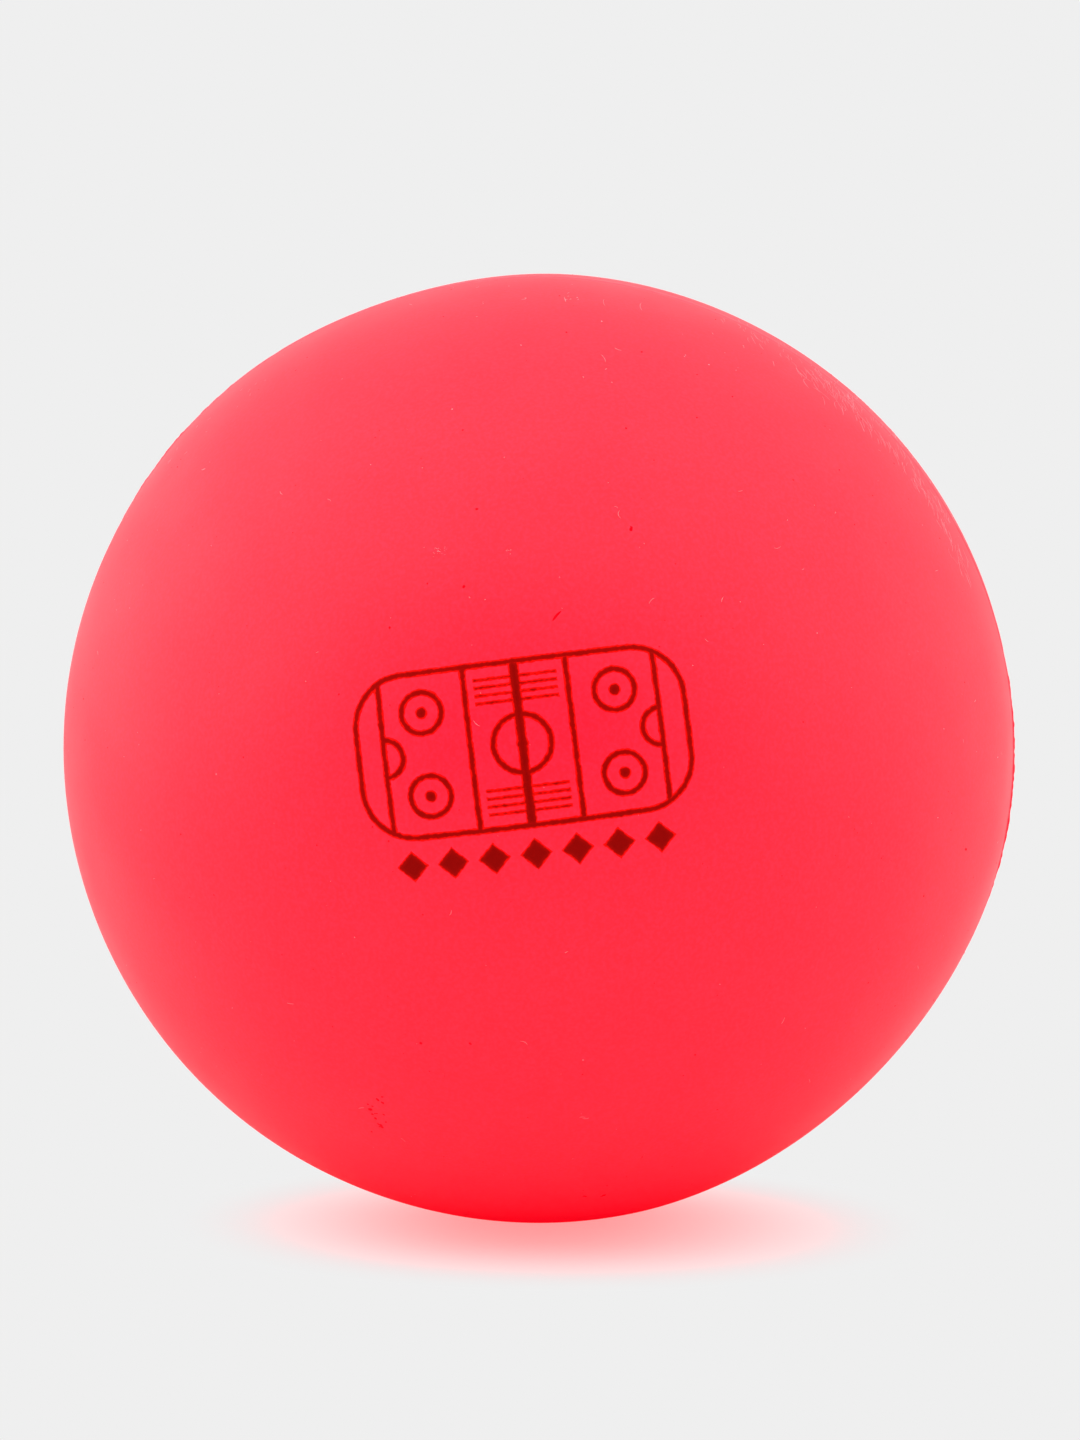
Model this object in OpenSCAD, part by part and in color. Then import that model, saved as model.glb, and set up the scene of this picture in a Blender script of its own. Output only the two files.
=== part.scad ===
// Street hockey ball, a single hollow moulding in soft vinyl.
// Millimetres, +Z up, origin at the centre of the ball.
// The two mould halves meet in the XZ plane, so the parting line runs round the Y axis.
// Directions on the parting line are counted in degrees from +X towards +Z.

/* [Ball] */
// Outside diameter of the ball, beside the parting line
ball_d = 66; // [60:0.5:72]
// Thickness of the vinyl wall round the sealed hollow
wall_t = 4.5; // [2.5:0.1:8]

/* [Parting line] */
// Width of the trimmed ridge that runs all the way round
ridge_w = 0.9; // [0.5:0.1:2.4]
// Height of the trimmed ridge above the ball
ridge_h = 0.07; // [0.04:0.01:0.3]

/* [Flash that the trimming left] */
// Thickness of the thin fins that stand on the ridge
fin_t = 0.26; // [0.16:0.02:0.44]
// Direction of the middle of the long fin
long_fin_at = 356; // [0:1:360]
// Arc from the middle of the long fin to each of its ends
long_fin_arc = 17; // [8:1:28]
// Height of the long fin above the ball
long_fin_h = 0.19; // [0.1:0.01:0.5]
// Direction of the middle of the short fin
short_fin_at = 139; // [0:1:360]
// Arc from the middle of the short fin to each of its ends
short_fin_arc = 12; // [8:1:28]
// Height of the short fin above the ball
short_fin_h = 0.14; // [0.1:0.01:0.5]

/* [Hidden] */
$fn = 128;
ball_r = ball_d / 2;
vinyl = "#ff3552";

// What stands out of the ball follows a circle that leaves the ball half_arc before its middle
// and meets it again half_arc past it, with its top rise above the ball.
// How far that circle's centre lies from the ball's centre.
function rising_centre(rise, half_arc) =
    (pow(ball_r + rise, 2) - pow(ball_r, 2)) / (2 * (ball_r + rise - ball_r * cos(half_arc)));

// The radius of that circle.
function rising_radius(rise, half_arc) = ball_r + rise - rising_centre(rise, half_arc);

// Turns +X to a direction on the parting line.
module facing(direction) {
    rotate([0, -direction, 0]) children();
}

// The low rounded ridge, turned round the Y axis. Its circle meets the ball at both edges.
module trimmed_ridge() {
    half_arc = asin(ridge_w / ball_d);
    rotate([90, 0, 0])
        rotate_extrude()
            translate([rising_centre(ridge_h, half_arc), 0])
                circle(r = rising_radius(ridge_h, half_arc));
}

// A fin of flash: the crescent of a thin disc that stands out of the ball and fades into it.
module flash_fin(direction, half_arc, height) {
    facing(direction)
        translate([rising_centre(height, half_arc), 0, 0])
            rotate([90, 0, 0])
                cylinder(r = rising_radius(height, half_arc), h = fin_t, center = true);
}

// The whole ball, with the hollow that its wall leaves.
module ball() {
    color(vinyl)
        difference() {
            union() {
                sphere(d = ball_d);
                trimmed_ridge();
                flash_fin(long_fin_at, long_fin_arc, long_fin_h);
                flash_fin(short_fin_at, short_fin_arc, short_fin_h);
            }
            sphere(r = ball_r - wall_t);
        }
}

ball();
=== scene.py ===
"""Looks of a street hockey ball, moulded in soft neon vinyl, with a trimmed parting ridge.

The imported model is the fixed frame. This script stands a finely meshed skin in the place of its
ball, and adds what lies on that skin: a printed rink plan, grit, dust and scuffs. A floor, a
light tent and the camera make it look as it does in the photograph.
Lengths are in millimetres until a mesh is made, and in metres from there on.
"""

import logging
import math
from dataclasses import dataclass, field
from enum import Enum

import bpy
import numpy as np
from mathutils import Matrix, Vector

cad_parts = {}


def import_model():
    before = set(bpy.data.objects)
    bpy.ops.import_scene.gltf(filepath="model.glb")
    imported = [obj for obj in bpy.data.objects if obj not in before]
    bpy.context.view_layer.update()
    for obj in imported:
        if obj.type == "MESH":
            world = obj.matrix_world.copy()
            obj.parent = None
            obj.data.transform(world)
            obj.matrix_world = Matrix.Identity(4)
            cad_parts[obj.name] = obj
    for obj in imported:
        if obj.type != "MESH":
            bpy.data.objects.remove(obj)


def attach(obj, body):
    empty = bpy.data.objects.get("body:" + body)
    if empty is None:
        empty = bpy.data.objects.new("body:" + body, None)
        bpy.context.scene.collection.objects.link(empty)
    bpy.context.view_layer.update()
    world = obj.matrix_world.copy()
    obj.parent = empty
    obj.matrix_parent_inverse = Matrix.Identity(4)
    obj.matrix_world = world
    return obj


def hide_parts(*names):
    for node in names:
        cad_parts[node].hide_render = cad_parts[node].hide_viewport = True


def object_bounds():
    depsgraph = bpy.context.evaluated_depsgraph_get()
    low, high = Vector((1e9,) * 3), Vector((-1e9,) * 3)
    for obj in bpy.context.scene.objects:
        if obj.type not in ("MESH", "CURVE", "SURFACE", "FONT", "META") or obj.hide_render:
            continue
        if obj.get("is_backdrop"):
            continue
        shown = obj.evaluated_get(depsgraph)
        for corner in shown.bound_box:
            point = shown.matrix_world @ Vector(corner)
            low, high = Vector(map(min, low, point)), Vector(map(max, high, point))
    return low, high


LOG = logging.getLogger("street_hockey_ball")
MM = 0.001
BODY = "root"
CAD_BALL = "ball"

# Nearly all values of a noise node lie between these
NOISE_LIMITS = (0.3, 0.7)

# Keeps a length that is divided by from being nought
TINY = 1e-9

# The sockets of a Mix node that is set to colours
MIX_FACTOR = 0
MIX_FIRST = 6
MIX_SECOND = 7
MIX_RESULT = 2


def linear(colour: str) -> tuple[float, float, float, float]:
    """Turns an sRGB hex colour to the linear colour that a shader takes.

    Args:
        colour: the colour as "#rrggbb".

    Returns:
        Red, green, blue and a full alpha, each from 0 to 1.
    """
    shares = [int(colour[place : place + 2], 16) / 255 for place in (1, 3, 5)]
    red, green, blue = [
        share / 12.92 if share <= 0.04045 else ((share + 0.055) / 1.055) ** 2.4 for share in shares
    ]
    return red, green, blue, 1.0


def add_node(
    tree: bpy.types.NodeTree,
    kind: str,
    settings: dict | None = None,
    inputs: dict | None = None,
) -> bpy.types.Node:
    """Adds a node with its settings and its links.

    Args:
        tree: the node tree that gets the node.
        kind: the node's type, as in "ShaderNodeMath".
        settings: properties of the node by name.
        inputs: for each input, by name or number, a value or the socket that feeds it.

    Returns:
        The new node.
    """
    node = tree.nodes.new(kind)
    for name, value in (settings or {}).items():
        setattr(node, name, value)
    for key, value in (inputs or {}).items():
        if isinstance(value, bpy.types.NodeSocket):
            tree.links.new(value, node.inputs[key])
        else:
            node.inputs[key].default_value = value
    return node


def empty_tree(holder: bpy.types.Material | bpy.types.World) -> bpy.types.NodeTree:
    """Gives a new material or world a node tree with nothing in it.

    Args:
        holder: the material or the world.

    Returns:
        Its node tree.
    """
    holder.use_nodes = True
    holder.node_tree.nodes.clear()
    return holder.node_tree


def place_in_mm(tree: bpy.types.NodeTree) -> bpy.types.NodeSocket:
    """Gives a material the place on its object, in millimetres.

    Args:
        tree: the material's node tree.

    Returns:
        The socket that holds the place.
    """
    place = add_node(tree, "ShaderNodeTexCoord").outputs["Object"]
    return add_node(
        tree, "ShaderNodeVectorMath", {"operation": "SCALE"}, {"Vector": place, "Scale": 1 / MM}
    ).outputs["Vector"]


def direction_of(azimuth_deg: float, elevation_deg: float) -> tuple[float, float, float]:
    """Gives a unit direction from two angles.

    Args:
        azimuth_deg: the turn from -Y towards +X.
        elevation_deg: the rise from the level towards +Z.

    Returns:
        The direction's three coordinates.
    """
    azimuth = math.radians(azimuth_deg)
    elevation = math.radians(elevation_deg)
    level = math.cos(elevation)
    return math.sin(azimuth) * level, -math.cos(azimuth) * level, math.sin(elevation)


def repeat_faces(parts: tuple[np.ndarray, ...], count: int, step: int) -> list:
    """Repeats the faces of one small body for all its copies.

    Args:
        parts: the body's faces, as one array for each kind of face.
        count: how many copies there are.
        step: how many vertices each of them has.

    Returns:
        The faces of them all.
    """
    starts = np.arange(count)[:, None, None] * step
    return [face for part in parts for face in (part + starts).reshape(-1, part.shape[1]).tolist()]


def smoothstep(low: float, high: float, values: np.ndarray) -> np.ndarray:
    """Rises smoothly from 0 at low to 1 at high, and falls where low is above high."""
    share = np.clip((values - low) / (high - low), 0.0, 1.0)
    return share * share * (3.0 - 2.0 * share)


def make_piece(
    name: str,
    points: np.ndarray,
    faces: list,
    material: bpy.types.Material,
) -> bpy.types.Object:
    """Makes a smooth mesh object.

    Args:
        name: the piece's name.
        points: its vertices, in millimetres.
        faces: the vertex numbers of each face, counted anticlockwise from outside.
        material: its only material.

    Returns:
        The object, linked to the scene.
    """
    mesh = bpy.data.meshes.new(name)
    mesh.from_pydata((points * MM).tolist(), [], faces)
    mesh.materials.append(material)
    mesh.polygons.foreach_set("use_smooth", [True] * len(mesh.polygons))
    mesh.update()
    piece = bpy.data.objects.new(name, mesh)
    bpy.context.scene.collection.objects.link(piece)
    return piece


def report(piece: bpy.types.Object) -> None:
    """Logs a finished piece with the number of its triangles."""
    triangles = sum(len(face.vertices) - 2 for face in piece.data.polygons)
    LOG.info("%s: %d triangles", piece.name, triangles)


@dataclass(frozen=True)
class ProductCamera:
    """The camera of the photograph, and the way from one of its pixels to a place on the ball.

    Pixels are counted in the photograph's frame, from its upper left corner.
    """

    azimuth_deg: float = 4.9
    elevation_deg: float = 10.5
    distance_mm: float = 495.0
    focal_px: float = 7108.0
    frame_px: tuple[int, int] = (1080, 1440)
    ball_centre_px: tuple[float, float] = (538.6, 748.0)
    sensor_mm: float = 36.0
    clip_m: tuple[float, float] = (0.01, 20.0)

    def position(self) -> Vector:
        """Where the camera stands, in millimetres from the ball's centre."""
        towards = Vector(direction_of(self.azimuth_deg, self.elevation_deg))
        return towards * self.distance_mm

    def turn(self) -> Matrix:
        """Turns the camera so that it sees the ball's centre on its pixel.

        Returns:
            The camera's right, its up and its back, in columns.
        """
        azimuth = math.radians(self.azimuth_deg)
        right = Vector((math.cos(azimuth), math.sin(azimuth), 0.0))
        up = self.position().normalized().cross(right)
        scale = self.distance_mm / self.focal_px
        aim = right * (self.frame_px[0] / 2 - self.ball_centre_px[0]) * scale
        aim += up * (self.ball_centre_px[1] - self.frame_px[1] / 2) * scale
        return (aim - self.position()).to_track_quat("-Z", "Y").to_matrix()

    def direction_at(self, pixel: tuple[float, float], radius: float) -> np.ndarray:
        """Finds the place on the ball that a pixel of the photograph shows.

        Args:
            pixel: the pixel's column and row. One outside the ball gives the nearest rim.
            radius: the ball's radius, in millimetres.

        Returns:
            The unit direction from the ball's centre to that place.
        """
        across = (pixel[0] - self.frame_px[0] / 2) / self.focal_px
        upward = (self.frame_px[1] / 2 - pixel[1]) / self.focal_px
        ray = (self.turn() @ Vector((across, upward, -1.0))).normalized()
        start = self.position()
        middle = -start.dot(ray)
        nearest = start + ray * middle
        depth = math.sqrt(max(radius**2 - nearest.length_squared, 0.0))
        return np.array((start + ray * (middle - depth)).normalized())

    def heading_at(self, direction: np.ndarray, radius: float, turn_deg: float) -> np.ndarray:
        """Finds the direction along the skin that a line of the photograph takes.

        Args:
            direction: the unit direction of a place on the ball.
            radius: the ball's radius, in millimetres.
            turn_deg: the line's turn in the picture, anticlockwise from its right.

        Returns:
            A unit vector that lies in the skin there.
        """
        turn = self.turn()
        angle = math.radians(turn_deg)
        line = np.array(turn.col[0]) * math.cos(angle) + np.array(turn.col[1]) * math.sin(angle)
        sight = np.array(self.position()) - direction * radius
        flat = line - sight * np.dot(line, direction) / np.dot(sight, direction)
        return flat / np.linalg.norm(flat)

    def build(self) -> None:
        """Makes the camera and gives it to the scene."""
        data = bpy.data.cameras.new("product_camera")
        data.sensor_width = self.sensor_mm
        data.lens = self.focal_px * self.sensor_mm / max(self.frame_px)
        data.clip_start, data.clip_end = self.clip_m
        camera = bpy.data.objects.new("product_camera", data)
        camera.matrix_world = Matrix.LocRotScale(self.position() * MM, self.turn().to_quaternion(), None)
        bpy.context.scene.collection.objects.link(camera)
        bpy.context.scene.camera = camera


@dataclass(frozen=True)
class FlatSide:
    """A side of the ball that came out of the mould a little flatter than the sphere.

    The azimuth is counted from -Y towards +X, and the elevation from the level towards +Z.
    """

    azimuth_deg: float
    elevation_deg: float
    half_arc_deg: float
    depth: float

    def dip(self, directions: np.ndarray) -> np.ndarray:
        """Gives how far the skin lies inside the sphere.

        Args:
            directions: unit vectors, one in each row.

        Returns:
            A depth in millimetres for each of them.
        """
        middle = np.array(direction_of(self.azimuth_deg, self.elevation_deg))
        away = np.degrees(np.arccos(np.clip(directions @ middle, -1.0, 1.0)))
        share = np.clip(1.0 - (away / self.half_arc_deg) ** 2, 0.0, 1.0)
        return self.depth * share**2


@dataclass(frozen=True)
class FlashFin:
    """A thin fin of flash that the trimming left on the parting ridge.

    Its direction is counted from +X towards +Z on the parting line, as in the part's source.
    """

    direction_deg: float
    half_arc_deg: float
    height: float
    seed: int


@dataclass(frozen=True)
class BallForm:
    """The true shape of the skin: its radius in every direction, in millimetres.

    Each row of torn_noise has its strength, its values round the ball, and what it adds to the
    seed of a fin.
    """

    radius: float = 33.0
    ridge_width: float = 0.9
    ridge_height: float = 0.07
    ridge_wobble: float = 0.35
    wobble_steps: int = 230
    wobble_seed: int = 5
    fin_half_thickness: float = 0.13
    fin_foot: float = 0.16
    fins: tuple[FlashFin, ...] = (
        FlashFin(direction_deg=356.0, half_arc_deg=17.0, height=0.19, seed=11),
        FlashFin(direction_deg=139.0, half_arc_deg=12.0, height=0.14, seed=12),
    )
    flats: tuple[FlatSide, ...] = (
        FlatSide(azimuth_deg=78.6, elevation_deg=-44.9, half_arc_deg=33.0, depth=0.4),
        FlatSide(azimuth_deg=255.7, elevation_deg=70.9, half_arc_deg=22.0, depth=0.19),
    )
    torn_mean: float = 0.72
    torn_least: float = 0.05
    torn_noise: tuple[tuple[float, int, int], ...] = ((0.16, 210, 0), (0.17, 760, 20))
    swell: float = 0.03
    swell_waves: int = 12
    swell_turns: float = 3.0
    swell_seed: int = 3

    def seam_noise(self, turn: np.ndarray, steps: int, seed: int) -> np.ndarray:
        """Gives smooth random values along the parting line.

        Args:
            turn: the directions on the parting line, in radians.
            steps: how many values there are round the ball.
            seed: the seed of the draw.

        Returns:
            A value from -1 to 1 for each direction.
        """
        values = np.random.default_rng(seed).uniform(-1.0, 1.0, steps)
        place = np.mod(turn / math.tau, 1.0) * steps
        before = np.floor(place).astype(int) % steps
        share = smoothstep(0.0, 1.0, place - np.floor(place))
        return values[before] * (1.0 - share) + values[(before + 1) % steps] * share

    def rise(self, half_arc: float, height: float, away: np.ndarray) -> np.ndarray:
        """Gives the height of a circle that leaves the ball half_arc before its top.

        Args:
            half_arc: the arc from the top to where the circle meets the ball, in radians.
            height: how far the top stands out of the ball.
            away: the arcs from the top, in radians.

        Returns:
            The heights above the ball, and 0 where the circle lies inside it.
        """
        top = self.radius + height
        centre = (top**2 - self.radius**2) / (2 * (top - self.radius * math.cos(half_arc)))
        inside = (top - centre) ** 2 - (centre * np.sin(away)) ** 2
        reach = centre * np.cos(away) + np.sqrt(np.maximum(inside, 0.0))
        return np.where(np.abs(away) < half_arc, np.maximum(reach - self.radius, 0.0), 0.0)

    def radii(self, directions: np.ndarray) -> np.ndarray:
        """Gives the skin's distance from the ball's centre.

        Args:
            directions: unit vectors, one in each row.

        Returns:
            A radius in millimetres for each of them.
        """
        draw = np.random.default_rng(self.swell_seed)
        waves = draw.normal(size=(self.swell_waves, 3)) * self.swell_turns
        starts = draw.uniform(0.0, math.tau, self.swell_waves)
        swell = np.cos(directions @ waves.T + starts).sum(axis=1) / math.sqrt(self.swell_waves)
        radii = self.radius + self.swell * swell
        for flat in self.flats:
            radii = radii - flat.dip(directions)
        side = directions[:, 1] * self.radius
        turn = np.arctan2(directions[:, 2], directions[:, 0])
        ridge_arc = math.asin(self.ridge_width / 2 / self.radius)
        latitude = np.arcsin(np.clip(directions[:, 1], -1.0, 1.0))
        wobble = self.seam_noise(turn, self.wobble_steps, self.wobble_seed)
        wobble = 1.0 + self.ridge_wobble * wobble
        ridge = self.rise(ridge_arc, self.ridge_height, latitude) * np.minimum(wobble, 1.0)
        return radii + np.maximum(ridge, self.fin_height(side, turn))

    def fin_height(self, side: np.ndarray, turn: np.ndarray) -> np.ndarray:
        """Gives how far the torn fins stand out of the ridge.

        Args:
            side: distances from the parting plane, in millimetres.
            turn: directions on the parting line, in radians.

        Returns:
            A height in millimetres for each place.
        """
        height = np.zeros_like(side)
        wall = np.clip((self.fin_foot - np.abs(side)) / (self.fin_foot - self.fin_half_thickness), 0.0, 1.0)
        for fin in self.fins:
            away = np.mod(turn - math.radians(fin.direction_deg) + math.pi, math.tau) - math.pi
            rise = self.rise(math.radians(fin.half_arc_deg), fin.height, away)
            full = np.sqrt(rise * fin.height)
            torn = self.torn_mean
            for strength, steps, shift in self.torn_noise:
                torn = torn + strength * self.seam_noise(turn, steps, fin.seed + shift)
            height = np.maximum(height, full * np.clip(torn, self.torn_least, 1.0))
        return height * wall

    def points(self, directions: np.ndarray, lift: np.ndarray | float = 0.0) -> np.ndarray:
        """Gives the places that lie lift above the skin in each direction, in millimetres."""
        return directions * (self.radii(directions) + lift)[:, None]

    def beside(
        self,
        middles: np.ndarray,
        headings: np.ndarray,
        offsets: np.ndarray,
        lifts: np.ndarray,
    ) -> np.ndarray:
        """Places points on the skin round each of several middles.

        Args:
            middles: n unit directions.
            headings: n unit vectors along the skin there.
            offsets: for each middle, k offsets along its heading and to the left of it.
            lifts: for each middle, the k heights above the skin.

        Returns:
            n times k points, in millimetres.
        """
        sideways = np.cross(middles, headings)
        spread = middles[:, None] * self.radius + offsets[..., :1] * headings[:, None]
        spread = (spread + offsets[..., 1:] * sideways[:, None]).reshape(-1, 3)
        directions = spread / np.linalg.norm(spread, axis=1)[:, None]
        return self.points(directions, lifts.reshape(-1))


@dataclass(frozen=True)
class SoftVinylFinish:
    """Plasticised PVC, moulded, with a neon pigment all through.

    The neon pigment's glow is painted as a steady red emission, which keeps the pink-red deep and
    even, also in the shade towards the floor. The satin skin of the mould gives wide pale
    reflections towards the rim. Tumbling in a box left dark and pale specks. A pale band on the
    upper part of the seam is a painted highlight over the ridge's shaded flank, and on the +X side
    the seam is tinted deeper, painted shade along the trimmed ridge and its fin.
    The real grain is finer than the picture can show, so it is drawn as coarse as it needs to
    be. The limits of specks are shares of their spacing, and those of dark and pale ones are the
    random draws at which they start and are full.
    """

    colour: str = "#ff0028"
    grain_colour: str = "#ff163b"
    grain_mm: float = 0.26
    grain_depth_mm: float = 0.003
    grain_limits: tuple[float, float] = (0.38, 0.78)
    speck_colour: str = "#c40020"
    dust_and_highlight_colour: str = "#ff8c98"
    speck_spacing_mm: float = 1.9
    speck_edge: tuple[float, float] = (0.045, 0.02)
    dark_draws: tuple[float, float] = (0.7, 1.0)
    pale_draws: tuple[float, float] = (0.8, 1.0)
    # Painted shade: a deeper tint along the seam on the +X side, where the trimmed ridge and its fin show
    # as a darker line
    painted_seam_shade_colour: str = "#f2002a"
    painted_seam_shade_edge_mm: tuple[float, float] = (0.42, 0.18)
    painted_seam_shade_x_mm: tuple[float, float] = (20.0, 30.0)
    # Painted highlight: a pale tint on the upper part of the seam, over the ridge's shaded flank
    painted_highlight_edge_mm: tuple[float, float] = (0.84, 0.36)
    painted_highlight_z_mm: tuple[float, float] = (12.0, 24.0)
    painted_highlight_share: float = 0.16
    # Painted glow: a steady red emission, which keeps the red deep in the shade towards the floor
    painted_neon_glow_colour: str = "#ff0022"
    painted_neon_glow_strength: float = 0.26
    roughness: tuple[float, float] = (0.48, 0.54)
    roughness_mm: float = 7.0
    ior: float = 1.4

    def material(self) -> bpy.types.Material:
        """Builds the material of the skin.

        Returns:
            The material.
        """
        material = bpy.data.materials.new("soft_vinyl_moulded")
        tree = empty_tree(material)
        place = place_in_mm(tree)
        grain, cloud = (
            add_node(
                tree,
                "ShaderNodeTexNoise",
                inputs={"Vector": place, "Scale": 1 / size_mm, "Detail": detail},
            ).outputs["Fac"]
            for size_mm, detail in ((self.grain_mm, 2.0), (self.roughness_mm, 4.0))
        )
        cells = add_node(
            tree,
            "ShaderNodeTexVoronoi",
            inputs={"Vector": place, "Scale": 1 / self.speck_spacing_mm},
        ).outputs
        draws = add_node(tree, "ShaderNodeSeparateColor", inputs={"Color": cells["Color"]}).outputs
        apart = add_node(tree, "ShaderNodeSeparateXYZ", inputs={"Vector": place}).outputs
        off_seam = add_node(
            tree, "ShaderNodeMath", {"operation": "ABSOLUTE"}, {0: apart["Y"]}
        ).outputs["Value"]
        ramps = (
            ("SMOOTHSTEP", cells["Distance"], self.speck_edge, (0.0, 1.0)),
            # Mask of the painted seam shade
            ("SMOOTHSTEP", off_seam, self.painted_seam_shade_edge_mm, (0.0, 1.0)),
            # Mask of the painted seam highlight
            ("SMOOTHSTEP", off_seam, self.painted_highlight_edge_mm, (0.0, 1.0)),
            # Painted seam shade: only on the +X side
            ("SMOOTHSTEP", apart["X"], self.painted_seam_shade_x_mm, (0.0, 1.0)),
            # Painted seam highlight: rising towards the top
            ("SMOOTHSTEP", apart["Z"], self.painted_highlight_z_mm, (0.0, self.painted_highlight_share)),
            ("LINEAR", draws["Red"], self.dark_draws, (0.0, 1.0)),
            ("LINEAR", draws["Green"], self.pale_draws, (0.0, 1.0)),
            ("LINEAR", grain, self.grain_limits, (0.0, 1.0)),
            ("LINEAR", cloud, NOISE_LIMITS, self.roughness),
        )
        spot, painted_seam_shade_band, painted_highlight_band, at_side, high, dark, pale, grains, rough = (
            add_node(
                tree,
                "ShaderNodeMapRange",
                {"interpolation_type": rise},
                {
                    "Value": value,
                    "From Min": limits[0],
                    "From Max": limits[1],
                    "To Min": levels[0],
                    "To Max": levels[1],
                },
            ).outputs["Result"]
            for rise, value, limits, levels in ramps
        )
        tints = (
            (grains, 1.0, self.grain_colour),
            (spot, dark, self.speck_colour),
            (spot, pale, self.dust_and_highlight_colour),
            # Painted shade along the seam on the +X side
            (painted_seam_shade_band, at_side, self.painted_seam_shade_colour),
            # Painted highlight on the upper part of the seam
            (painted_highlight_band, high, self.dust_and_highlight_colour),
        )
        colour = linear(self.colour)
        for shape, strength, tint in tints:
            share = add_node(
                tree, "ShaderNodeMath", {"operation": "MULTIPLY"}, {0: shape, 1: strength}
            ).outputs["Value"]
            colour = add_node(
                tree,
                "ShaderNodeMix",
                {"data_type": "RGBA"},
                {MIX_FACTOR: share, MIX_FIRST: colour, MIX_SECOND: linear(tint)},
            ).outputs[MIX_RESULT]
        bump = add_node(
            tree,
            "ShaderNodeBump",
            inputs={"Strength": 1.0, "Distance": self.grain_depth_mm * MM, "Height": grain},
        ).outputs["Normal"]
        shader = add_node(
            tree,
            "ShaderNodeBsdfPrincipled",
            inputs={
                "Base Color": colour,
                "Roughness": rough,
                "IOR": self.ior,
                # Painted neon glow
                "Emission Color": linear(self.painted_neon_glow_colour),
                "Emission Strength": self.painted_neon_glow_strength,
                "Normal": bump,
            },
        ).outputs["BSDF"]
        add_node(tree, "ShaderNodeOutputMaterial", inputs={"Surface": shader})
        return material


@dataclass(frozen=True)
class PrintInkFinish:
    """Vinyl ink, put on by a soft pad.

    The pad leaves a thin, mottled film: a deep red where the ink is thick, a little lighter in
    narrow strokes, and a glowing red along the edges, where the neon vinyl shines through.
    """

    edge_colour: str = "#ff0a06"
    stroke_colour: str = "#a60402"
    thick_colour: str = "#920301"
    edge_share: float = 0.16
    stroke_share: float = 0.42
    roughness: float = 0.5
    ior: float = 1.1
    mottle_mm: float = 0.4
    mottle_share: float = 0.1

    def material(self) -> bpy.types.Material:
        """Builds the material of the print, which reads the film's depth from the mesh.

        Returns:
            The material.
        """
        material = bpy.data.materials.new("vinyl_ink_pad_printed")
        tree = empty_tree(material)
        mottle = add_node(
            tree,
            "ShaderNodeTexNoise",
            inputs={"Vector": place_in_mm(tree), "Scale": 1 / self.mottle_mm, "Detail": 3.0},
        ).outputs["Fac"]
        depth = add_node(
            tree, "ShaderNodeAttribute", {"attribute_name": InkFilm.DEPTH_ATTRIBUTE}
        ).outputs["Fac"]
        uneven = add_node(
            tree,
            "ShaderNodeMapRange",
            inputs={
                "Value": mottle,
                "From Min": NOISE_LIMITS[0],
                "From Max": NOISE_LIMITS[1],
                "To Min": -self.mottle_share,
                "To Max": self.mottle_share,
            },
        ).outputs["Result"]
        cover = add_node(
            tree, "ShaderNodeMath", {"operation": "ADD", "use_clamp": True}, {0: depth, 1: uneven}
        ).outputs["Value"]
        colours = add_node(tree, "ShaderNodeValToRGB", inputs={"Fac": cover})
        first, last = colours.color_ramp.elements
        first.position = self.edge_share
        first.color = linear(self.edge_colour)
        last.position = 1.0
        last.color = linear(self.thick_colour)
        stroke = colours.color_ramp.elements.new(self.stroke_share)
        stroke.color = linear(self.stroke_colour)
        shader = add_node(
            tree,
            "ShaderNodeBsdfPrincipled",
            inputs={
                "Base Color": colours.outputs["Color"],
                "Roughness": self.roughness,
                "IOR": self.ior,
            },
        ).outputs["BSDF"]
        add_node(tree, "ShaderNodeOutputMaterial", inputs={"Surface": shader})
        return material


class Trace(Enum):
    """What has settled on the skin, each with its colour and its index of refraction.

    Grit and ink are so matt that hardly any gloss lies over their colour, so they look deeper
    than the vinyl.
    """

    GRIT = ("#e0000c", 1.1)
    DUST = ("#ffbcc4", 1.38)
    SCUFF = ("#ff9ca4", 1.38)
    INK = ("#c80006", 1.1)

    def __init__(self, colour: str, ior: float) -> None:
        """Keeps the two values under their names."""
        self.colour = colour
        self.ior = ior


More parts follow.
